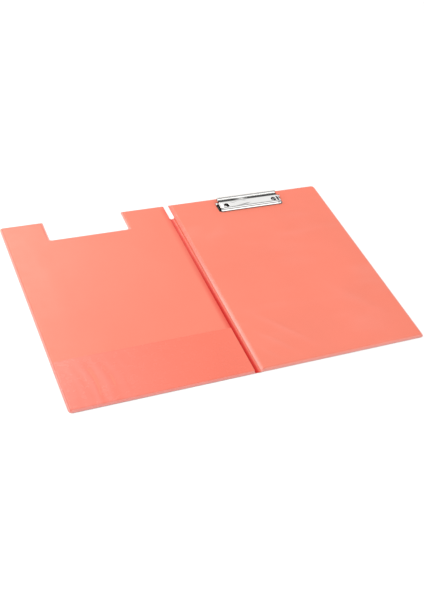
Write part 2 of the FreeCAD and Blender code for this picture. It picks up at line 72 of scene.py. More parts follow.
FILM = box("back_outer_film")[1].z
POCKET_FILM = 0.2
CORE_GAP = 0.3  # between the greyboard and the outside of the film's bend
OUTER_CORNER = 4.5
LEAST_CORNER = 0.25
WELD = 1.8  # the margin where the films are welded together
WELD_LINE = (0.55, 0.7, 1.2, 1.35)  # where the pressed line in the margin starts, is deep, and ends
WELD_PRESS = 0.09
CUT_REACH, CUT_DROP = 0.12, 0.07  # the rounding of a film's cut edge
DRAPE_BENDS = (0.35, 0.75)  # the radii where a film leaves its weld and where it comes onto the board
DRAPE_END = 2.0  # how far onto the board the section of a film goes
FLAT_END = 3.5  # the same for an outer film
BACK_SHOULDER = box("back_core_board")[0].x - CORE_GAP
BACK_RUN = BACK_HIGH.x - box("back_core_board")[1].x - WELD - CORE_GAP
COVER_SHOULDER = box("cover_core_board")[1].x + CORE_GAP
COVER_RUN = box("cover_core_board")[0].x - COVER_LOW.x - WELD - CORE_GAP

NOTCH_MIDDLE, NOTCH_HALF, NOTCH_DEPTH = -124.0, 55.0, 37.0
NOTCH_CORNER, MOUTH_CORNER = 3.0, 1.5

BOARD_FOLD = SPINE_HIGH.x - FILM
COVER_FOLD = SPINE_LOW.x + FILM
FOLD_MIDDLE = (BOARD_FOLD + COVER_FOLD) / 2
SLOT_RADIUS = 3.6
RIDGE_ACROSS = (-2.6, -0.9, 1.8)  # the start, the crest and the end of the spine's raised fold
# The stops of the groove beside the spine, from the cover to the back board, and the painted shade at each of
# them.
GROOVE_ACROSS = (
    COVER_SHOULDER - 0.8, COVER_SHOULDER, COVER_FOLD, *RIDGE_ACROSS, BACK_SHOULDER - 1.0, BACK_SHOULDER + 0.6)
GROOVE_AT_FOOT = (0.0, 0.9, 1.0, 0.7, 0.14, 0.02, 0.11, 0.0)
GROOVE_AT_HEAD = (0.0, 0.5, 0.62, 0.48, 0.16, 0.2, 0.25, 0.0)

CLIP_MIDDLE = (JAW_LOW.x + JAW_HIGH.x) / 2
ROD_Y = (ROD_LOW.y + ROD_HIGH.y) / 2
ROD_Z = (ROD_LOW.z + ROD_HIGH.z) / 2
BOARD_TOP = BACK_HIGH.z
JAW_SHEET, BASE_SHEET = 0.7, 0.6

GRID = 5.0  # between the points of a film's mesh
GRID_LINES = np.arange(-250, 250, GRID)
GRID_END_GAP = 0.2  # between the end of a run and its nearest grid point, in grid steps
CORNER_STEPS = 6
BEND_STEPS = 5
MERGE_REACH = 1e-5  # points nearer than this become one
FILM_SHARP, METAL_SHARP = 60, 35  # the least angles of sharp edges, in degrees
ROUNDED_ANGLE = 40  # the least angle of a plate's edge that is rounded


# ---- outlines and flat meshes ----

def inset(corners, reaches):
    """Move each side of an outline of square corners (x, y, radius) inwards by its own reach."""
    count = len(corners)
    ways = []
    for i, (x, y, _) in enumerate(corners):
        following = corners[(i + 1) % count]
        ways.append(Vector((following[0] - x, following[1] - y)).normalized())
    moved = []
    for i, (x, y, radius) in enumerate(corners):
        before, after = ways[i - 1], ways[i]
        x -= before.y * reaches[i - 1] + after.y * reaches[i]
        y += before.x * reaches[i - 1] + after.x * reaches[i]
        shrink = min(reaches[i - 1], reaches[i])
        convex = before.cross(after) > 0
        moved.append((x, y, max(radius - shrink if convex else radius + shrink, LEAST_CORNER)))
    return moved


def along(start, end, step):
    """The points of a straight run that lie on the grid, without its ends."""
    run = end - start
    axis = 0 if abs(run.x) > abs(run.y) else 1
    low, high = sorted((start[axis], end[axis]))
    gap = GRID_END_GAP * step
    marks = np.arange(math.ceil((low + gap) / step), math.floor((high - gap) / step) + 1) * step
    if run[axis] < 0:
        marks = marks[::-1]
    return [start + run * ((mark - start[axis]) / run[axis]) for mark in marks]


def round_corner(corner, before, after, radius):
    """The points of an arc that rounds a square corner."""
    back = (before - corner).normalized()
    ahead = (after - corner).normalized()
    centre = corner + (back + ahead) * radius
    turns = [QUARTER * k / CORNER_STEPS for k in range(CORNER_STEPS + 1)]
    return [centre - ahead * radius * math.cos(turn) - back * radius * math.sin(turn) for turn in turns]


def trace(corners, step=GRID, closed=True):
    """The points round an outline of square corners: rounded corners, and grid points between them."""
    places = [Vector(corner[:2]) for corner in corners]
    count = len(places)
    arcs = []
    for i, corner in enumerate(corners):
        if not closed and i in (0, count - 1):
            arcs.append([places[i]])
        else:
            arcs.append(round_corner(places[i], places[i - 1], places[(i + 1) % count], corner[2]))
    points = []
    for i, arc in enumerate(arcs):
        points += arc
        if closed or i < count - 1:
            points += along(arc[-1], arcs[(i + 1) % count][0], step)
    return points


def circle(centre, radius, sides):
    """The points round a circle."""
    turns = [4 * QUARTER * k / sides for k in range(sides)]
    return [Vector(centre) + Vector((math.cos(turn), math.sin(turn))) * radius for turn in turns]


def inside(points, loop):
    """Which of the points lie inside a closed loop."""
    loop = np.array([p[:2] for p in loop])
    following = np.roll(loop, -1, axis=0)
    found = np.zeros(len(points), bool)
    for (ax, ay), (bx, by) in zip(loop, following):
        crosses = (ay > points[:, 1]) != (by > points[:, 1])
        if ay != by:
            found ^= crosses & (points[:, 0] < ax + (points[:, 1] - ay) * (bx - ax) / (by - ay))
    return found


def rims_of(holes, sides, number=0.0):
    """The rims of round holes of (centre, radius), with a number carried by every point."""
    return [carry(circle(centre, radius, sides), number) for centre, radius in holes]


def grid_points(loop, holes, columns, rows, margin):
    """The crossings of columns and rows that lie inside a loop and clear of its holes, as (x, y)."""
    crossings = np.array([(x, y) for x in columns for y in rows])
    keep = inside(crossings, loop)
    for centre, radius in holes:
        keep &= np.hypot(*(crossings - np.array(centre)).T) > radius + margin
    return [Vector(p) for p in crossings[keep]]


def triangulate(outline, holes, seams, points):
    """Triangles inside an outline and outside its holes. Every point is (x, y, carried value).

    The outline and the holes are closed loops, and the seams are open or closed lines of edges.
    Returns [(x, y, carried value)] and the faces.
    """
    flat, edges = [], []
    for line in [outline, *holes]:
        first = len(flat)
        flat += line
        edges += [(first + i, first + (i + 1) % len(line)) for i in range(len(line))]
    for line in seams:
        first = len(flat)
        flat += line
        edges += [(first + i, first + i + 1) for i in range(len(line) - 1)]
    flat += points
    places, _, faces, sources, _, _ = geometry.delaunay_2d_cdt(
        [Vector(p[:2]) for p in flat], edges, [], 0, MERGE_REACH, True
    )
    centres = np.array([sum((places[i] for i in face), Vector((0, 0))) / len(face) for face in faces])
    keep = inside(centres, outline)
    for hole in holes:
        keep &= ~inside(centres, hole)
    kept = [face for face, wanted in zip(faces, keep) if wanted]
    used = sorted({i for face in kept for i in face})
    index = {old: new for new, old in enumerate(used)}
    points = [(places[i].x, places[i].y, flat[sources[i][0]][2]) for i in used]
    return points, [[index[i] for i in face] for face in kept]


def rectangle(left, bottom, right, top, radius=0):
    """The corners of a rectangle."""
    return [(left, bottom, radius), (right, bottom, radius), (right, top, radius), (left, top, radius)]


def carry(line, number=0.0):
    """The same line with a number carried by every point."""
    return [(p[0], p[1], number) for p in line]


def bend_path(corners):
    """The points of a path with its corners rounded. Each corner is (x, y, radius)."""
    points = [Vector(corners[0][:2])]
    for i in range(1, len(corners) - 1):
        corner = Vector(corners[i][:2])
        back = (Vector(corners[i - 1][:2]) - corner).normalized()
        ahead = (Vector(corners[i + 1][:2]) - corner).normalized()
        half = back.angle(ahead) / 2
        radius = corners[i][2]
        centre = corner + (back + ahead).normalized() * radius / math.sin(half)
        start = corner + back * radius / math.tan(half) - centre
        sweep = start.angle_signed(corner + ahead * radius / math.tan(half) - centre)
        for k in range(BEND_STEPS + 1):
            points.append(centre + Matrix.Rotation(-sweep * k / BEND_STEPS, 2) @ start)
    points.append(Vector(corners[-1][:2]))
    return points


def middle_of(low, high):
    """The middle of a box, seen from above."""
    return (low.x + high.x) / 2, (low.y + high.y) / 2


def ease(share):
    """0 to 1 with soft ends."""
    share = min(1.0, max(0.0, share))
    return share * share * (3 - 2 * share)


def sides_of(corners, without=None):
    """The sides of an outline of square corners, as (start, end), without one of them."""
    ends = corners[1:] + corners[:1]
    sides = [(Vector(start[:2]), Vector(end[:2])) for start, end in zip(corners, ends)]
    return [side for i, side in enumerate(sides) if i != without]


def clearance(x, y, sides):
    """How far a point is from the nearest of the sides."""
    point = Vector((x, y))
    nearest = math.inf
    for start, end in sides:
        share = min(1.0, max(0.0, (point - start).dot(end - start) / (end - start).length_squared))
        nearest = min(nearest, (start + (end - start) * share - point).length)
    return nearest


# ---- objects ----

def new_object(name, data):
    """A new object in the scene."""
    made = bpy.data.objects.new(name, data)
    bpy.context.scene.collection.objects.link(made)
    return made


def make_object(name, chunks):
    """One mesh object from chunks of (points in millimetres, faces), shaded smooth."""
    points, faces = [], []
    for chunk_points, chunk_faces in chunks:
        first = len(points)
        points += [Vector(p) * MM for p in chunk_points]
        faces += [[first + i for i in face] for face in chunk_faces]
    mesh = bpy.data.meshes.new(name)
    mesh.from_pydata(points, [], faces)
    mesh.validate()
    mesh.shade_smooth()
    return new_object(name, mesh)


def settle(piece, sharp=METAL_SHARP):
    """Replace a piece's mesh by what its modifiers make of it, with its sharp edges marked."""
    evaluated = piece.evaluated_get(bpy.context.evaluated_depsgraph_get())
    mesh = bpy.data.meshes.new_from_object(evaluated)
    piece.modifiers.clear()
    piece.data = mesh
    mesh.shade_smooth()
    mesh.set_sharp_from_angle(angle=math.radians(sharp))


def make_sheet(name, chunks, thickness, rounding=None):
    """A sheet with its thickness behind its faces: a film, or a plate if its edges have a rounding."""
    piece = make_object(name, chunks)
    solidify = piece.modifiers.new("thickness", "SOLIDIFY")
    solidify.thickness = thickness * MM
    solidify.offset = -1
    if rounding:
        bevel = piece.modifiers.new("soft_edges", "BEVEL")
        bevel.width = rounding * MM
        bevel.segments = 2
        bevel.limit_method = "ANGLE"
        bevel.angle_limit = math.radians(ROUNDED_ANGLE)
        bevel.harden_normals = True
    settle(piece, sharp=METAL_SHARP if rounding else FILM_SHARP)
    return piece


def finish(piece, material, node, body=None):
    """Give a piece its material, hide the CAD node that it stands for, and let it ride."""
    piece.data.materials.clear()
    piece.data.materials.append(material)
    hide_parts(node)
    if body:
        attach(piece, body)


def paint(piece, name, value_at):
    """Give every point of a piece a value for its material."""
    attribute = piece.data.attributes.new(name, "FLOAT", "POINT")
    for target, vertex in zip(attribute.data, piece.data.vertices):
        target.value = value_at(vertex)


# ---- the welded films ----

RIPPLE_FADE = 30  # how far from its weld a film has its full ripples
# Tension lines in the films, as (start, end, width, height).
BACK_TENSION = (
    ((16, -52), (100, -153), 4, 0.85),
    ((10, -88), (66, -152), 3.2, 0.80),
    ((8, -118), (38, -154), 2.6, 0.60),
    ((140, -30), (222, -128), 8, 0.50),
    ((18, 60), (80, 118), 7, 0.45),
    ((60, 60), (225, 20), 9, 0.40),
)
COVER_TENSION = (
    ((-30, 40), (-90, 100), 9, 0.20),
    ((-205, 120), (-190, -60), 14, 0.30),
)
CLIP_CALM = (62, 44, 8)  # half the width, the depth and the soft edge of the calm film under the clip
SPINE_MARGIN = 0.15  # how far from its edge at the spine the back film's slope starts
COVER_MARGIN = 0.02 * WELD  # the same for the cover
RIVET_HOLE = 2.0
WELL_RADIUS = 4.7  # the outer film's hole under a washer
CUT_EDGE = 0.1  # nearer to the outline than this is the cut edge itself
RIM_START, RIM_FADE = 1.5, 1.4


def weld_profile():
    """The margin's section from its edge inwards, as (reach, depth below its face)."""
    start, deep, rise, end = WELD_LINE
    pressed = [(start, 0.0), (deep, WELD_PRESS), (rise, WELD_PRESS), (end, 0.0)]
    return [(0.0, CUT_DROP), (CUT_REACH, 0.0)] + pressed


def flat_profile():
    """The section of an outer film, which lies flat inside its weld."""
    return weld_profile() + [(FLAT_END, 0.0)]


def draped_profile(run, foot, top):
    """The section of a film from its edge, over its weld, up the board's side and onto the board."""
    bend = bend_path([
        (WELD_LINE[3] + 0.05, foot, 0), (WELD, foot, DRAPE_BENDS[0]),
        (WELD + run, top, DRAPE_BENDS[1]), (WELD + run + DRAPE_END, top, 0),
    ])
    return [(reach, foot - depth) for reach, depth in weld_profile()] + bend[1:]


def welded_film(name, corners, spine_side, margin, slope, profile, holes, ripple, downwards=False):
    """A film of a board: rings that follow the profile round its edge, and a rippled middle.

    On its side at the spine the rings only reach in by the margin over the weld, and then by the slope.
    """
    rings = []
    for reach, height in profile:
        reaches = [reach] * len(corners)
        reaches[spine_side] = margin * reach / WELD if reach < WELD else margin + (reach - WELD) * slope
        rings.append(carry(trace(inset(corners, reaches)), height))
    last, level = profile[-1]
    core = inset(corners, [last + 1.2] * len(corners))
    middle = grid_points(trace(core), holes, GRID_LINES, GRID_LINES, 1.0)
    seams = [ring + ring[:1] for ring in rings[1:]]
    points, faces = triangulate(rings[0], rims_of(holes, 48, level), seams, carry(middle, level))
    edges = sides_of(corners)
    placed = []
    for x, y, height in points:
        share = ease((clearance(x, y, edges) - last) / RIPPLE_FADE)
        placed.append((x, y, height + share * ripple(x, y)))
    if downwards:
        faces = [face[::-1] for face in faces]
    return make_sheet(name, [(placed, faces)], FILM)


def soft_ridge(x, y, start, end, width, height):
    """A soft ridge in a film along a line from start to end, fading out at both ends."""
    start, end = Vector(start), Vector(end)
    way = (end - start).normalized()
    offset = Vector((x, y)) - start
    share = offset.dot(way) / (end - start).length
    if not 0 < share < 1:
        return 0.0
    across = offset.cross(way) / width
    return height * math.exp(-across * across) * math.sin(math.pi * share) ** 2


def waves(x, y, length, seed):
    """Soft random waves between about -1 and 1."""
    return noise.noise(Vector((x / length, y / length, seed))) + 0.4 * noise.noise(
        Vector((2.3 * x / length, 2.3 * y / length, seed + 5)))


def back_ripple(x, y):
    """The back board's inner film: soft waves, and tension lines that run out of its lower corner."""
    lift = 0.22 * waves(x, y, length=70, seed=1.0) + 0.12
    lift += 0.9 * ease(waves(0.3 * x + 0.1 * y, y, length=26, seed=41.0))
    for line in BACK_TENSION:
        lift += soft_ridge(x, y, *line)
    half, depth, fade = CLIP_CALM
    under_clip = ease((half - abs(x - CLIP_MIDDLE)) / fade)
    return lift * (1 - under_clip * ease((y - BACK_HIGH.y + depth) / fade))


def cover_ripple(x, y):
    """The cover's inner film: longer waves."""
    lift = 0.22 * waves(x, y, length=85, seed=9.0) + 0.12
    for line in COVER_TENSION:
        lift += soft_ridge(x, y, *line)
    return lift


def outer_ripple(x, y):
    """The outer films, which lie on the table: waves that only lift off it."""
    return 0.12 * abs(waves(x, y, length=60, seed=17.0))


def groove_shade(x, y):
    """How much painted shade a point gets in the groove beside the spine: 1 at the cover's fold, 0 on the
    boards.
    """
    at_foot, at_head = (np.interp(x, GROOVE_ACROSS, depths) for depths in (GROOVE_AT_FOOT, GROOVE_AT_HEAD))
    return at_foot + (at_head - at_foot) * ease((y + 60) / 140)


def fold_highlight(x, y):
    """The painted highlight along the board's fold, where the film's bend catches the light: most at its
    foot.
    """
    return 0.95 * math.exp(-(x - BOARD_FOLD - 0.5) ** 2) * (1 - ease((y + 20) / 120))


def back_painted_light(x, y):
    """How pale the back board's inner film is: the painted highlight along the fold, and painted light on its
    ripples where they stand off the board.
    """
    return min(1.0, fold_highlight(x, y) + 0.15 * max(0.0, back_ripple(x, y)))


def paint_groove_shade(piece):
    """Give every point of a piece its painted shade in the groove."""
    paint(piece, "depth", lambda vertex: groove_shade(vertex.co.x / MM, vertex.co.y / MM))


def paint_rim(piece, edges, paleness=fold_highlight):
    """Give every point of a film its paleness: the pressed weld with a painted highlight, most along the
    welded edges, and the painted light that paleness gives. Above 1 it is the cut edge, which gets painted
    shade.
    """
    def rim_at(vertex):
        x, y = vertex.co.x / MM, vertex.co.y / MM
        reach = clearance(x, y, edges)
        rim = 2 if reach < CUT_EDGE else 1 - ease((reach - RIM_START) / RIM_FADE)
        return max(rim, paleness(x, y))

    paint(piece, "rim", rim_at)


def make_films(name, body, outline, drape, holes, wells, ripple, paleness, film):
    """The two films of a board: the inner one draped over it, the outer one flat below it.

    The outline is (corners, the number of its side at the spine, margin, slope), as in welded_film.
    """
    edges = sides_of(outline[0], without=outline[1])
    inner = welded_film(f"{name}_inner_skin", *outline, drape, holes, ripple)
    # painted shade in the groove beside the spine, then paleness from the welds and painted light
    paint_groove_shade(inner)
    paint_rim(inner, edges, paleness)
    finish(inner, film, f"{name}_inner_film", body)
    outer = welded_film(f"{name}_outer_skin", *outline, flat_profile(), wells, outer_ripple, downwards=True)
    paint_rim(outer, edges)
    finish(outer, film, f"{name}_outer_film", body)


def make_back_films(film):
    """The films of the back board, with a hole for each rivet and a well for its washer."""
    low, high = BACK_LOW, BACK_HIGH
    foot = low.x + SPINE_MARGIN
    corners = [
        (low.x, low.y, 0), (high.x, low.y, OUTER_CORNER), (high.x, high.y, OUTER_CORNER), (low.x, high.y, 0)]
    outline = corners, 3, foot - low.x, (BACK_SHOULDER - foot) / BACK_RUN
    drape = draped_profile(BACK_RUN, 2 * FILM, high.z)
    centres = [middle_of(*box(f"clip_rivet_{side}")) for side in ("left", "right")]
    holes, wells = ([(centre, radius) for centre in centres] for radius in (RIVET_HOLE, WELL_RADIUS))
    make_films("back", "board", outline, drape, holes, wells, back_ripple, back_painted_light, film)


def make_cover_films(film):
    """The films of the cover, with the notch for the clip in its head."""
    low, high = COVER_LOW, COVER_HIGH
    left, right, floor = NOTCH_MIDDLE - NOTCH_HALF, NOTCH_MIDDLE + NOTCH_HALF, high.y - NOTCH_DEPTH
    corners = [
        (low.x, low.y, OUTER_CORNER), (high.x, low.y, 0), (high.x, high.y, 0),
        (right, high.y, MOUTH_CORNER), (right, floor, NOTCH_CORNER),
        (left, floor, NOTCH_CORNER), (left, high.y, MOUTH_CORNER), (low.x, high.y, OUTER_CORNER),
    ]
    outline = corners, 1, COVER_MARGIN, (high.x - COVER_SHOULDER) / COVER_RUN
    drape = draped_profile(COVER_RUN, 2 * FILM, high.z)
    make_films("cover", "cover", outline, drape, [], [], cover_ripple, fold_highlight, film)


POCKET_FOLD_PITCH = 2.7  # the width of a fold of the pocket, for one radian of its wave
POCKET_FOLD_SWAY, POCKET_FOLD_FADE = 4.0, 30
POCKET_FOLDS_AT, POCKET_FOLDS_HALF = 42, 26  # the middle of the folds and their spread
POCKET_MOUTH_RISE = 0.35
POCKET_CALM = 14  # how far from its weld the pocket has its full ripples


def pocket_fold(x, y):
    """The folds that run up the pocket's film beside its welded corner, from -1 to 1."""
    across = x - POCKET_LOW.x
    sway = POCKET_FOLD_SWAY * noise.noise(Vector((x / 34, y / 50, 5.0)))
    fold = math.sin((across + 0.15 * (y - POCKET_LOW.y)) / POCKET_FOLD_PITCH + sway)
    fold *= math.exp(-((across - POCKET_FOLDS_AT) / POCKET_FOLDS_HALF) ** 2)
    return fold * ease((POCKET_HIGH.y - y) / POCKET_FOLD_FADE)


def pocket_painted_light(x, y):
    """Painted light on the pocket's film: paler most beside its welded corner, where it stands off the cover,
    and in bands along its folds.
    """
    return 0.30 * (1 - ease((x - POCKET_LOW.x) / 200)) + 0.14 * pocket_fold(x, y)


def pocket_ripple(x, y):
    """The pocket's film: folds beside its welded corner, and a mouth that stands a little open."""
    mouth = POCKET_MOUTH_RISE * ease(1 - (POCKET_HIGH.y - y) / 22)
    mouth = mouth * ease((x - POCKET_LOW.x) / 40) * ease((POCKET_HIGH.x - x) / 40)
    return 0.40 * pocket_fold(x, y) + mouth + 0.16 * waves(x, y, length=45, seed=23.0) + 0.12


def make_pocket(pocket_film):
    """The pocket across the foot of the cover, welded at its foot and side, with an open mouth."""
    low, high = POCKET_LOW, POCKET_HIGH
    floor = low.z + POCKET_FILM
    profile = draped_profile(COVER_RUN, floor, high.z)
    lines = []
    for reach, height in profile:
        left, bottom, radius = low.x + reach, low.y + reach, max(OUTER_CORNER - reach, LEAST_CORNER)
        corners = [(left, high.y, 0), (left, bottom, radius), (high.x, bottom, 0)]
        lines.append(carry(trace(corners, closed=False), height))
    free_corner = Vector((high.x, high.y))  # left and bottom are now those of the last line
    side_run = along(Vector((high.x, bottom)), free_corner, GRID)
    mouth_run = along(free_corner, Vector((left, high.y)), GRID)
    rim = carry(side_run + [free_corner] + mouth_run, high.z)
    outline = lines[0] + [line[-1] for line in lines[1:]] + rim + [line[0] for line in lines[:0:-1]]
    core = rectangle(left + 1, bottom + 1, high.x - 1, high.y - 1)
    middle = grid_points(core, [], GRID_LINES, GRID_LINES, 1.0)
    points, faces = triangulate(outline, [], lines[1:], carry(middle, high.z))
    placed = []
    for x, y, height in points:
        welded = min(x - low.x, y - low.y) - profile[-1][0]
        placed.append((x, y, height + ease(welded / POCKET_CALM) * pocket_ripple(x, y)))
    piece = make_sheet("cover_pocket_skin", [(placed, faces)], POCKET_FILM)
    welded_corner = Vector((low.x, low.y))
    edges = [(Vector((low.x, high.y)), welded_corner), (welded_corner, Vector((high.x, low.y)))]
    paint_rim(piece, edges, pocket_painted_light)
    finish(piece, pocket_film, "cover_pocket_film", "cover")


# ---- the spine ----

SPINE_COLUMNS, SPINE_ROWS = 28, 66  # the faces of half a film, across and up
BOW_RISE, BOW_LEAN = 0.8, 2.2  # how high the spine's film bows up, and how far towards the board
CREASE_PRESS, CREASE_AT, CREASE_HALF = 0.16, 0.10, 0.07  # the crease beside the cover's fold


def spine_top(x):
    """Where the spine ends under the relief slot, at this x: a round hollow between two short tabs."""
    across = x - FOLD_MIDDLE
    if abs(across) < SLOT_RADIUS:
        return SPINE_HIGH.y - math.sqrt(SLOT_RADIUS ** 2 - across ** 2)
    return SPINE_HIGH.y


def spine_height(x):
    """The height of the spine's upper face: pressed in beside each fold, and bowed up between them."""
    share = (x - COVER_FOLD) / (BOARD_FOLD - COVER_FOLD)
    if not 0 < share < 1:
        return 2 * FILM
    bow = BOW_RISE * math.sin(math.pi * share ** BOW_LEAN) ** 2
    crease = CREASE_PRESS * math.exp(-((share - CREASE_AT) / CREASE_HALF) ** 2)
    return 2 * FILM + bow - crease


def make_spine_half(layer, body, edge, film):
    """One half of a film of the spine, from its edge at a board to the middle."""
    left, right = sorted((edge, FOLD_MIDDLE))
    upper = layer == "inner"
    columns, rows = SPINE_COLUMNS, SPINE_ROWS
    points, faces = [], []
    for i in range(columns + 1):
        x = left + (right - left) * i / columns
        for k in range(rows + 1):
            y = SPINE_LOW.y + (spine_top(x) - SPINE_LOW.y) * k / rows
            wave = 0.05 * noise.noise(Vector((x / 9, y / 16, 31.0)))
            calm = ease((x - COVER_FOLD) / 2) * ease((BOARD_FOLD - x) / 2)
            points.append((x, y, spine_height(x) + wave * calm if upper else 0.0))
    for i in range(columns):
        for k in range(rows):
            corner = i * (rows + 1) + k
            face = [corner, corner + rows + 1, corner + rows + 2, corner + 1]
            faces.append(face if upper else face[::-1])
    piece = make_sheet(f"spine_{layer}_{body}_half", [(points, faces)], FILM)
    if upper:
        # painted shade in the groove, and the painted highlight along the board's fold
        paint_groove_shade(piece)
        paint_rim(piece, [])
    finish(piece, film, f"spine_{layer}_film")
    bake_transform(piece)


def make_spine(film):
    """Both films of the spine, each in two halves, one beside each board."""
    for layer in ("inner", "outer"):
        make_spine_half(layer, "board", BACK_LOW.x, film)
        make_spine_half(layer, "cover", COVER_HIGH.x, film)


# ---- the clip ----

# The clip's own frame has its origin in the middle of the clip, at the board's top edge and on its face. The
# jaw's section runs from its lip back to a crease and a step, and then the sheet rolls over into a bead.
ROD_REACH, ROD_RISE = BACK_HIGH.y - ROD_Y, ROD_Z - BOARD_TOP
RIVET_SPREAD = (box("clip_rivet_right")[0].x - box("clip_rivet_left")[0].x) / 2
RIVET_REACH = BACK_HIGH.y - middle_of(*box("clip_rivet_left"))[1]
LIP_REACH = BACK_HIGH.y - JAW_LOW.y
JAW_RISE, JAW_FRONT_END = 4.9, 19.0
LIP_TIP, LIP_RUN = 0.6, 3.2
CREASE_START, CREASE_REACH, CREASE_DROP = 15.4, 13.5, 0.7
BEAD_RADIUS = 1.9
BEAD_REACH = BACK_HIGH.y - JAW_HIGH.y + BEAD_RADIUS
BEAD_RISE = JAW_HIGH.z - BOARD_TOP - BEAD_RADIUS
BEAD_ROLL, BEAD_STEPS = math.radians(305), 30
BEAD_HALF = 46.6
PLATEAU_HALF, SIDE_DROP = 43.4, 0.6  # the flat part of the jaw, and how far its ends are folded down
LOOK_HOLE = 7.6
JAW_COLUMN = 0.75  # between the columns of the jaw's mesh
BASE_CORNER = 2.0
RIVET_SHANK, HEAD_RIM = 1.9, 0.35  # the shank's radius, and the height of the head's rim under its dome
EAR_HALF, EAR_OVER_ROD = 2.0, 1.5
JAW_EAR_OUT = 46.6
JAW_BORE, BASE_BORE = 2.12, 2.04


def clip_point(x, y, z):
    """A point of the clip's own frame, in the frame of the model."""
    return (CLIP_MIDDLE + x, BACK_HIGH.y + y, BOARD_TOP + z)


def jaw_path():
    """The section of the jaw's outer face."""
    points = bend_path([
        (-LIP_REACH, 0.05, 0), (-LIP_REACH, LIP_TIP, 0.3), (-LIP_REACH + LIP_RUN, JAW_RISE, 2.2),
        (-CREASE_START, JAW_RISE, 1.0), (-CREASE_REACH, JAW_RISE - CREASE_DROP, 1.1),
        (-BEAD_REACH - BEAD_RADIUS, JAW_RISE - CREASE_DROP, 0.1), (-BEAD_REACH - BEAD_RADIUS, BEAD_RISE, 0),
    ])
    centre = Vector((-BEAD_REACH, BEAD_RISE))
    for k in range(1, BEAD_STEPS + 1):
        turn = 2 * QUARTER - BEAD_ROLL * k / BEAD_STEPS
        points.append(centre + Vector((math.cos(turn), math.sin(turn))) * BEAD_RADIUS)
    return points


def jaw_warp(x, y):
    """How far the jaw's thin sheet stands off from flat: soft waves, and a fan of strain lines."""
    lift = 0.05 * noise.noise(Vector((x / 16, y / 9, 3.0)))
    lift += soft_ridge(x, y, (-26, -29.5), (8, -25), width=1.5, height=0.16)
    for k in range(4):
        lift += soft_ridge(x, y, (-34 + 5 * k, -17), (-20 + 7 * k, -24 + k), width=1.1, height=0.10)
    return lift


def shade_of_jaw(x, y, z, normal):
    """How much painted shade a point of the jaw gets: most on its inner face, its lip's tip and line, and its
    crease, with painted dark reflections on its bead and along a strain line.
    """
    # painted reflection: the bead is greyer, most at its back
    if y > -BEAD_REACH - BEAD_RADIUS + 0.2:
        bead_back = ease((normal.y - 0.05) / 0.3)
        return 0.28 + 0.30 * bead_back
    # painted shade: the inner face is dark all over, so the gap under the jaw looks black
    if normal.z < -0.2:
        return 1.0
    # painted shadow along the lip's tip, where it meets the board
    tip = 0.9 * ease((1.5 - z) / 0.5)
    # painted reflection: the lip's slope is dimmer, with a dark line across it; above it, painted shade in
    # the bend
    if y < -LIP_REACH + LIP_RUN:
        lip = 0.24 + 0.72 * math.exp(-((z - 2.9) / 0.6) ** 2)
    else:
        lip = 0.3 * math.exp(-((y + LIP_REACH - LIP_RUN - 0.4) / 0.7) ** 2)
    # painted shadow in the crease, lighter a little left of the middle
    across = (y + (CREASE_START + CREASE_REACH) / 2 - 0.5) / 2.6
    crease_shade_gap = 0.6 * math.exp(-((x + 10) / 7) ** 2)
    crease = math.exp(-across ** 6) * (1 - crease_shade_gap)
    # a painted dark reflection along a strain line
    strain = soft_ridge(x, y, (-33, -29.3), (0, -25.8), width=0.8, height=0.6)
    return max(tip, lip, strain, crease)


def shade_of_base(x, y, z, normal):
    """How dark a point of the base plate is: painted shade on its rims under the ends of the jaw, where the
    jaw's shadow falls.
    """
    return ease((abs(x) - 45) / 1.5) * (0.97 if x < 0 else 0.6) * (1.0 if z < 1 else 0.0)


def paint_shade(piece, shade):
    """Give every point of a piece of the clip its painted shade, from its place in the clip's own frame."""
    origin = Vector(clip_point(0, 0, 0))
    paint(piece, "depth", lambda vertex: shade(*(vertex.co / MM - origin), vertex.normal))


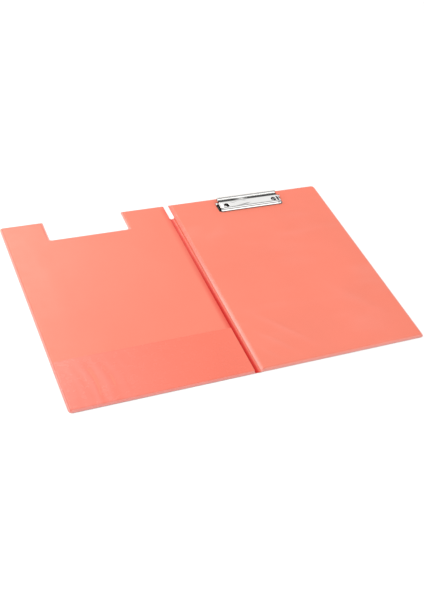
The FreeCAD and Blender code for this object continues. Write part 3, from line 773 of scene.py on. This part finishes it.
def jaw_chunk():
    """The jaw's sheet: cut flat with its look holes, then bent along its path."""
    path = jaw_path()
    marks = [0.0]
    for before, after in zip(path, path[1:]):
        marks.append(marks[-1] + (after - before).length)
    ys, zs = np.array(path).T
    lengths = np.array(marks)
    first_bead = next(i for i, p in enumerate(path) if p.x > -BEAD_REACH - BEAD_RADIUS - 0.01)
    flat_start = 2 * (BEND_STEPS + 1)

    def mark_at(y, start=0):
        return float(np.interp(y, ys[start:first_bead], lengths[start:first_bead]))

    step_mark = mark_at(-JAW_FRONT_END)
    hole_mark = mark_at(-RIVET_REACH, flat_start - 1)
    half, end = (JAW_HIGH.x - JAW_LOW.x) / 2, marks[-1]
    corners = [
        (-half, 0, 0.9), (half, 0, 0.9), (half, step_mark, 1.2), (BEAD_HALF, step_mark, 0.5),
        (BEAD_HALF, end, 0.3), (-BEAD_HALF, end, 0.3), (-BEAD_HALF, step_mark, 0.5), (-half, step_mark, 1.2),
    ]
    lip_start, lip_end = marks[BEND_STEPS + 1], marks[BEND_STEPS + 2]
    crease_mark = mark_at(-CREASE_START - 1)
    rows = set(marks[1:-1]) | set(np.arange(lip_start + 0.4, lip_end - 0.2, 0.4))
    rows |= set(np.arange(marks[flat_start], crease_mark, 0.7))
    rows |= set(np.arange(crease_mark, marks[first_bead - 1], 0.45))
    columns = list(np.arange(-46.5, BEAD_HALF, JAW_COLUMN))
    columns += [side * PLATEAU_HALF + reach for side in (-1, 1) for reach in (-0.9, 0.9)]
    holes = [((side * RIVET_SPREAD, hole_mark), LOOK_HOLE / 2) for side in (-1, 1)]
    shrunk = trace(inset(corners, [0.25] * len(corners)), step=3.0)
    middle = grid_points(shrunk, holes, columns, sorted(rows), 0.35)
    outline = carry(trace(corners, step=3.0))
    points, faces = triangulate(outline, rims_of(holes, 56), [], carry(middle))
    placed = []
    for x, mark, _ in points:
        y, z = (float(np.interp(mark, lengths, places)) for places in (ys, zs))
        front = ease((-JAW_FRONT_END + 2 - y) / 3)
        drop = SIDE_DROP * ease((abs(x) - PLATEAU_HALF + 1) / 3.5) * front if mark > 2 else 0.0
        placed.append(clip_point(x, y, z - drop + jaw_warp(x, y) * ease(mark / 6)))
    return placed, faces


def ear_chunks(outer, base, crown, rounded_low, bore):
    """Two upright ears about the rod, as their outer faces, one at each end of the clip."""
    low_corner, high_corner = (EAR_OVER_ROD, 0.1) if rounded_low else (0.1, EAR_OVER_ROD)
    front, back = -ROD_REACH - EAR_HALF, -ROD_REACH + EAR_HALF
    corners = [
        (front, base, low_corner), (back, base, low_corner),
        (back, crown, high_corner), (front, crown, high_corner),
    ]
    rims = rims_of([((-ROD_REACH, ROD_RISE), bore / 2)], 32)
    points, faces = triangulate(carry(trace(corners, step=1.0)), rims, [], [])
    left, right = ([clip_point(x, y, z) for y, z, _ in points] for x in (-outer, outer))
    return [(left, [face[::-1] for face in faces]), (right, faces)]


def make_jaw(chrome):
    """The sprung jaw, with its ears turned down over the rod."""
    base, crown = ROD_RISE - EAR_OVER_ROD, JAW_RISE - 0.5 * JAW_SHEET
    chunks = [jaw_chunk(), *ear_chunks(JAW_EAR_OUT, base, crown, True, JAW_BORE)]
    piece = make_sheet("clip_jaw_sheet", chunks, JAW_SHEET, rounding=0.14)
    paint_shade(piece, shade_of_jaw)
    finish(piece, chrome, "clip_jaw_plate", "jaw")


def make_base(steel):
    """The plate that is riveted down, with its ears turned up for the rod."""
    half = (BASE_HIGH.x - BASE_LOW.x) / 2
    low, high = BASE_LOW.y - BACK_HIGH.y, BASE_HIGH.y - BACK_HIGH.y
    corners = rectangle(-half, low, half, high, BASE_CORNER)
    holes = [((side * RIVET_SPREAD, -RIVET_REACH), RIVET_HOLE) for side in (-1, 1)]
    columns = np.arange(-half + 1, half - 0.5, 1.0)
    rows = [low + 3, (low + high) / 2, high - 3]
    middle = grid_points(trace(inset(corners, [0.5] * 4)), holes, columns, rows, 0.5)
    points, faces = triangulate(carry(trace(corners)), rims_of(holes, 32), [], carry(middle))
    plate = [clip_point(x, y, BASE_SHEET) for x, y, _ in points]
    base, crown = 0.5 * BASE_SHEET, ROD_RISE + EAR_OVER_ROD
    chunks = [(plate, faces), *ear_chunks(half, base, crown, False, BASE_BORE)]
    piece = make_sheet("clip_base_sheet", chunks, BASE_SHEET, rounding=0.12)
    paint_shade(piece, shade_of_base)
    finish(piece, steel, "clip_base_plate", "board")


def lathe(node, profile, centre, axis, steel, sides=48):
    """A turned piece of the clip, in place of a node, which rides on the board.

    Its closed profile of (radius, distance along the axis) turns about an axis through the centre.
    """
    points, faces = [], []
    for k in range(sides):
        turn = 4 * QUARTER * k / sides
        for radius, distance in profile:
            arm = (radius * math.cos(turn), radius * math.sin(turn))
            offset = (arm[0], arm[1], distance) if axis == "Z" else (distance, arm[0], arm[1])
            points.append(Vector(centre) + Vector(offset))
    count = len(profile)
    for k in range(sides):
        here, there = k * count, (k + 1) % sides * count
        for i in range(count):
            j = (i + 1) % count
            faces.append([here + i, there + i, there + j, here + j])
    piece = make_object(f"{node}_turned", [(points, faces)])
    weld = piece.modifiers.new("axis", "WELD")
    weld.merge_threshold = 1e-6
    settle(piece)
    finish(piece, steel, node, "board")


def make_rivet(side, steel):
    """A rivet with a low domed head and a rolled tail that is dished in its middle."""
    low, high = box(f"clip_rivet_{side}")
    tail, head = (high.x - low.x) / 2 - 0.3, (high.x - low.x) / 2
    seat = BOARD_TOP + BASE_SHEET
    rim = seat + HEAD_RIM
    turns = [QUARTER * k / 10 for k in range(10)]
    dome = [(head * math.cos(turn), rim + (high.z - seat - HEAD_RIM) * math.sin(turn)) for turn in turns]
    profile = [
        (0, 0.12), (1.0, 0.12), (1.5, 0.02), (tail - 0.25, 0.0), (tail, 0.14), (tail, 0.3), (tail - 0.1, 0.4),
        (RIVET_SHANK, 0.4), (RIVET_SHANK, seat), (head - 0.12, seat), (head, seat + 0.12), *dome, (0, high.z),
    ]
    lathe(f"clip_rivet_{side}", profile, (*middle_of(low, high), 0), "Z", steel)


def make_washer(side, steel):
    """A flat washer with rounded rims, sunk into the underside of the board."""
    low, high = box(f"clip_washer_{side}")
    bore, rim = RIVET_HOLE, (high.x - low.x) / 2
    start = (bore, low.z + 0.2, 0)
    section = [start, (bore, low.z, 0.1), (rim, low.z, 0.12), (rim, high.z, 0.12), (bore, high.z, 0.1), start]
    centre = (*middle_of(low, high), 0)
    lathe(f"clip_washer_{side}", bend_path(section)[:-1], centre, "Z", steel)


def make_rod(steel):
    """The hinge rod, with rounded ends."""
    half, radius = (ROD_HIGH.x - ROD_LOW.x) / 2, (ROD_HIGH.z - ROD_LOW.z) / 2
    section = [(0, -half, 0), (radius, -half, 0.3), (radius, half, 0.3), (0, half, 0)]
    centre = ((ROD_LOW.x + ROD_HIGH.x) / 2, ROD_Y, ROD_Z)
    lathe("clip_hinge_rod", bend_path(section), centre, "X", steel, sides=32)


SPRING_COIL, SPRING_WIRE = 1.4, 0.7  # the coil's radius, and the wire's diameter
SPRING_PITCH, SPRING_LEG = 0.75, 3.5
SPRING_TURNS, SPRING_STEPS = 8.569, 24  # the steps are to a turn
SPRING_START = math.radians(155)  # round from straight down, towards the back


def make_spring(side, steel):
    """A torsion spring on the rod: one leg on the base plate, the other one under the jaw."""
    start_x = box(f"clip_spring_{side}")[0].x + SPRING_WIRE / 2
    coil_length = SPRING_PITCH * SPRING_TURNS

    def on_coil(angle, x):
        return Vector((x, ROD_Y + SPRING_COIL * math.sin(angle), ROD_Z - SPRING_COIL * math.cos(angle)))

    steps = int(SPRING_TURNS * SPRING_STEPS)
    coil = []
    for k in range(steps + 1):
        angle = SPRING_START + 4 * QUARTER * SPRING_TURNS * k / steps
        coil.append(on_coil(angle, start_x + coil_length * k / steps))
    leave = Vector((0, math.cos(SPRING_START), math.sin(SPRING_START)))
    points = [coil[0] - leave * SPRING_LEG] + coil + [coil[-1] + Vector((0, SPRING_LEG, 0))]
    curve = bpy.data.curves.new("spring_wire", "CURVE")
    curve.dimensions = "3D"
    curve.bevel_depth = SPRING_WIRE / 2 * MM
    curve.bevel_resolution = 3
    curve.use_fill_caps = True
    spline = curve.splines.new("POLY")
    spline.points.add(len(points) - 1)
    for target, point in zip(spline.points, points):
        target.co = (*(point * MM), 1.0)
    wire = bpy.data.objects.new("spring_wire", curve)
    mesh = bpy.data.meshes.new_from_object(wire)
    mesh.shade_smooth()
    mesh.set_sharp_from_angle(angle=math.radians(50))
    bpy.data.objects.remove(wire)
    piece = new_object(f"clip_spring_{side}_wound", mesh)
    finish(piece, steel, f"clip_spring_{side}")
    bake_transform(piece)


# ---- materials ----

# The painted shade in the groove beside the spine: what it does to the film's colour, by its amount.
GROOVE_SHADE_TINTS = [(0.0, (1.0, 1.0, 1.0)), (0.5, (0.85, 0.28, 0.28)), (1.0, (0.60, 0.02, 0.03))]
GROOVE_SHINE = (0.5, 0.05)  # the film's specular level on the boards and deep in the groove, where it goes down with the painted shade
RIM_AND_HIGHLIGHT_PALENESS = (0.0, 0.115, 0.135)  # what the pressed weld round a film and its painted highlights add to its colour
CUT_SHADE = 0.45  # what is left of the colour on the film's cut edge, under its painted shade
METAL_SHADE = (0.02, 0.02, 0.021)  # the same under the metal's painted shade, where it is darkest
METAL_DULLING = 0.3  # and what that adds to its roughness


def feed(node, *by_place, **by_name):
    """Link or set a node's sockets, by their places or by their names, with _ for a space."""
    pairs = list(zip(node.inputs, by_place))
    pairs += [(node.inputs[name.replace("_", " ")], given) for name, given in by_name.items()]
    for socket, given in pairs:
        if isinstance(given, bpy.types.NodeSocket):
            node.id_data.links.new(given, socket)
        else:
            socket.default_value = given


def add(tree, kind, settings, *by_place, **by_name):
    """Add a shader node with its settings, feed it, and return its outputs."""
    node = tree.nodes.new("ShaderNode" + kind)
    for key, setting in settings.items():
        setattr(node, key, setting)
    feed(node, *by_place, **by_name)
    return node.outputs


def new_material(name):
    """A material, its node tree and its Principled shader."""
    material = bpy.data.materials.new(name)
    material.use_nodes = True
    return material, material.node_tree, material.node_tree.nodes["Principled BSDF"]


def painted(tree, name):
    """A value that was painted on the piece's points."""
    return add(tree, "Attribute", {"attribute_name": name})["Fac"]


def speckle(tree, scale, detail=2.0, roughness=0.5, stretch=(1, 1, 1)):
    """A noise pattern of the object's own space; scale is in patches per metre."""
    vector = add(tree, "Mapping", {}, Vector=add(tree, "TexCoord", {})["Object"], Scale=stretch)[0]
    return add(tree, "TexNoise", {}, Vector=vector, Scale=scale, Detail=detail, Roughness=roughness)["Fac"]


def spread(tree, pattern, low, high):
    """Stretch a pattern's middle range to run from low to high."""
    return add(tree, "MapRange", {}, pattern, From_Min=0.3, From_Max=0.7, To_Min=low, To_Max=high)[0]


def ramp(tree, pattern, stops):
    """Run a pattern through colours; each stop is (place from 0 to 1, colour)."""
    made = add(tree, "ValToRGB", {}, pattern)["Color"]
    elements = made.node.color_ramp.elements
    while len(elements) < len(stops):
        elements.new(0.5)
    for element, (position, colour) in zip(elements, stops):
        element.position = position
        element.color = (*colour, 1)
    return made


def colours(tree, pattern, dark, light):
    """Run a pattern between two colours."""
    return ramp(tree, pattern, [(0.3, dark), (0.7, light)])


def bumps(tree, shader, layers):
    """Stack bump layers of (pattern, strength, height in millimetres) onto the shader's normal."""
    below = {}
    for pattern, strength, height in layers:
        bump = add(tree, "Bump", {}, Height=pattern, Strength=strength, Distance=height * MM, **below)
        below = {"Normal": bump["Normal"]}
    feed(shader, **below)


def film_material(name, dark, light, matt, gloss, fine):
    """Soft coral vinyl: a satin face with fine grain, faint orange peel and slow changes of tone.

    Painted shade makes it deep red, with no shine, in the groove beside the spine, and darkens its cut edges;
    the pressed welds and painted highlights make it paler.
    """
    material, tree, shader = new_material(name)
    depth, rim = painted(tree, "depth"), painted(tree, "rim")
    tone = colours(tree, speckle(tree, scale=9, detail=3), dark, light)
    # painted shade: the groove's tint takes the film's tone down to deep red
    colour = add(tree, "VectorMath", {"operation": "MULTIPLY"}, tone, ramp(tree, depth, GROOVE_SHADE_TINTS))[0]
    # paler along the pressed welds, with painted highlights and painted light
    pale = ramp(tree, rim, [(0.0, (0, 0, 0)), (1.0, RIM_AND_HIGHLIGHT_PALENESS)])
    colour = add(tree, "VectorMath", {"operation": "ADD"}, colour, pale)[0]
    # painted shade on the cut edge
    cut = add(tree, "MapRange", {}, rim, From_Min=1.0, From_Max=2.0, To_Min=1.0, To_Max=CUT_SHADE)[0]
    colour = add(tree, "VectorMath", {"operation": "SCALE"}, colour, Scale=cut)[0]
    # less shine under the groove's painted shade
    shine = add(tree, "MapRange", {}, depth, To_Min=GROOVE_SHINE[0], To_Max=GROOVE_SHINE[1])[0]
    haze = spread(tree, speckle(tree, scale=140, detail=4), gloss, matt)
    feed(shader, Base_Color=colour, Specular_IOR_Level=shine, Roughness=haze)
    peel = speckle(tree, scale=110)
    grain = speckle(tree, scale=1500, detail=3)
    bumps(tree, shader, [(peel, fine, 0.25), (grain, 0.35, 0.03)])
    return material


def metal_material(name, dark, light, gloss, matt, brushed, wave):
    """Plated sheet or wire: drawn lines along the clip, a slightly uneven face and cloudy gloss."""
    material, tree, shader = new_material(name)
    depth = painted(tree, "depth")
    cloud = colours(tree, speckle(tree, scale=60), dark, light)
    # painted shade: the piece's painted darkness takes its colour down to METAL_SHADE
    shade = ramp(tree, depth, [(0.0, (1, 1, 1)), (1.0, METAL_SHADE)])
    colour = add(tree, "VectorMath", {"operation": "MULTIPLY"}, cloud, shade)[0]
    polish = spread(tree, speckle(tree, scale=120, detail=3), gloss, matt)
    dulled = add(tree, "Math", {"operation": "MULTIPLY_ADD"}, depth, METAL_DULLING, polish)[0]
    feed(shader, Metallic=1.0, Base_Color=colour, Roughness=dulled)
    lines = speckle(tree, scale=900, detail=3, roughness=0.6, stretch=(0.06, 1, 1))
    uneven = speckle(tree, scale=45, detail=1)
    bumps(tree, shader, [(uneven, wave, 0.3), (lines, brushed, 0.02)])
    return material


def greyboard_material():
    """Recycled greyboard: matt, with pale and dark fibres."""
    material, tree, shader = new_material("greyboard")
    fibres = speckle(tree, scale=700, detail=6, roughness=0.7, stretch=(1, 0.35, 1))
    colour = colours(tree, fibres, (0.20, 0.18, 0.16), (0.38, 0.35, 0.31))
    feed(shader, Base_Color=colour, Roughness=spread(tree, fibres, 0.8, 0.95))
    bumps(tree, shader, [(fibres, 0.5, 0.1)])
    return material


def floor_material():
    """A white sweep of paper."""
    material, tree, shader = new_material("paper_floor")
    tooth = speckle(tree, scale=900, detail=4)
    feed(shader, Base_Color=colours(tree, tooth, (0.78, 0.78, 0.78), (0.80, 0.80, 0.80)), Roughness=0.6)
    bumps(tree, shader, [(tooth, 0.1, 0.05)])
    return material


# ---- the stage ----

CAMERA_ANGLES = (-31.18, 43.287, 12.268)  # azimuth, elevation and roll
CAMERA_DISTANCE = 1194.2
CAMERA_AIM = Vector((-9.97, -31.10, 0.0))
CAMERA_LENS = 56.06
FLOOR_REACH = 4000.0
WORLD_STRENGTH = 0.92
WORLD_DARK = (0.03, 0.03, 0.035)


def add_camera():
    """The camera looks down at the open clipboard from beyond the cover's foot, rolled to its left."""
    azimuth, elevation, roll = (math.radians(angle) for angle in CAMERA_ANGLES)
    level = math.cos(elevation)
    back = Vector((math.sin(azimuth) * level, -math.cos(azimuth) * level, math.sin(elevation)))
    right = Vector((0, 0, 1)).cross(back).normalized()
    above = back.cross(right)
    across = right * math.cos(roll) + above * math.sin(roll)
    upwards = above * math.cos(roll) - right * math.sin(roll)
    camera = new_object("camera", bpy.data.cameras.new("camera"))
    camera.data.lens = CAMERA_LENS
    camera.data.sensor_width = 36
    place = Matrix.Translation((CAMERA_AIM + back * CAMERA_DISTANCE) * MM)
    camera.matrix_world = place @ Matrix((across, upwards, back)).transposed().to_4x4()
    bpy.context.scene.camera = camera


def add_floor():
    """A wide pale floor."""
    corners = rectangle(-FLOOR_REACH, -FLOOR_REACH, FLOOR_REACH, FLOOR_REACH)
    floor = make_object("floor", [(corners, [[0, 1, 2, 3]])])
    floor.data.materials.append(floor_material())


def add_softbox(name, azimuth, elevation, distance, width, height, power, colour=(1, 1, 1)):
    """A soft light that faces the clipboard; azimuth is from +Y towards +X."""
    azimuth, elevation = math.radians(azimuth), math.radians(elevation)
    level = math.cos(elevation)
    way = Vector((math.sin(azimuth) * level, math.cos(azimuth) * level, math.sin(elevation)))
    light = bpy.data.lights.new(name, "AREA")
    light.shape = "RECTANGLE"
    light.size = width
    light.size_y = height
    light.energy = power
    light.color = colour
    holder = new_object(name, light)
    holder.location = way * distance
    holder.rotation_mode = "QUATERNION"
    holder.rotation_quaternion = way.to_track_quat("Z", "Y")


def add_world():
    """A white studio. Only reflections show its dark parts: beyond the clip, to the right and overhead."""
    world = bpy.data.worlds.new("studio")
    world.use_nodes = True
    tree = world.node_tree
    way = add(tree, "SeparateXYZ", {}, add(tree, "TexCoord", {})["Generated"])

    def limit(axis, clear, full):
        smooth = {"interpolation_type": "SMOOTHSTEP"}
        return add(tree, "MapRange", smooth, way[axis], From_Min=clear, From_Max=full)[0]

    def join(operation, first, second):
        return add(tree, "Math", {"operation": operation}, first, second)[0]

    beyond = join("MULTIPLY", limit("Z", 0.58, 0.48), limit("Y", 0.0, 0.3))
    right = join("MULTIPLY", limit("Z", 0.62, 0.52), limit("X", 0.62, 0.74))
    overhead = join("MULTIPLY", limit("Y", -0.16, -0.24), limit("Y", -0.62, -0.54))
    overhead = join("MULTIPLY", overhead, limit("Z", 0.60, 0.68))
    dark = join("MAXIMUM", join("MAXIMUM", beyond, right), overhead)
    dark = join("MULTIPLY", dark, add(tree, "LightPath", {})["Is Glossy Ray"])
    colour = ramp(tree, dark, [(0.0, (1.0, 1.0, 1.0)), (1.0, WORLD_DARK)])
    feed(tree.nodes["Background"], Color=colour, Strength=WORLD_STRENGTH)
    bpy.context.scene.world = world


# ---- the whole ----

coral = film_material(
    "coral_film", (0.685, 0.162, 0.104), (0.725, 0.171, 0.111), matt=0.44, gloss=0.34, fine=0.12)
pocket_coral = film_material(
    "pocket_film", (0.69, 0.138, 0.088), (0.73, 0.146, 0.094), matt=0.30, gloss=0.20, fine=0.05)
chrome = metal_material(
    "bright_nickel", (0.93, 0.925, 0.91), (0.96, 0.955, 0.94),
    gloss=0.03, matt=0.07, brushed=0.015, wave=0.02)
base_nickel = metal_material(
    "base_nickel", (0.82, 0.825, 0.83), (0.88, 0.885, 0.89),
    gloss=0.04, matt=0.09, brushed=0.02, wave=0.02)
rivet_steel = metal_material(
    "rivet_nickel", (0.84, 0.845, 0.85), (0.90, 0.90, 0.905),
    gloss=0.10, matt=0.18, brushed=0.05, wave=0.04)
spring_steel = metal_material(
    "spring_wire", (0.34, 0.35, 0.38), (0.48, 0.49, 0.52),
    gloss=0.20, matt=0.34, brushed=0.20, wave=0.05)
greyboard = greyboard_material()

make_back_films(coral)
make_cover_films(coral)
make_pocket(pocket_coral)
make_spine(coral)
make_jaw(chrome)
make_base(base_nickel)
make_rod(rivet_steel)
for side in ("left", "right"):
    make_rivet(side, rivet_steel)
    make_washer(side, rivet_steel)
    make_spring(side, spring_steel)
for node in ("back_core_board", "cover_core_board"):
    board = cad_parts[node].data
    board.materials.clear()
    board.materials.append(greyboard)

add_floor()
add_world()
add_softbox("back_softbox", azimuth=-27, elevation=42, distance=1.9, width=2.0, height=0.9, power=29,
            colour=(1.0, 0.97, 0.88))
add_softbox("front_softbox", azimuth=162, elevation=20, distance=1.9, width=2.4, height=1.6, power=14)
add_camera()
bpy.context.scene.view_settings.view_transform = "Standard"
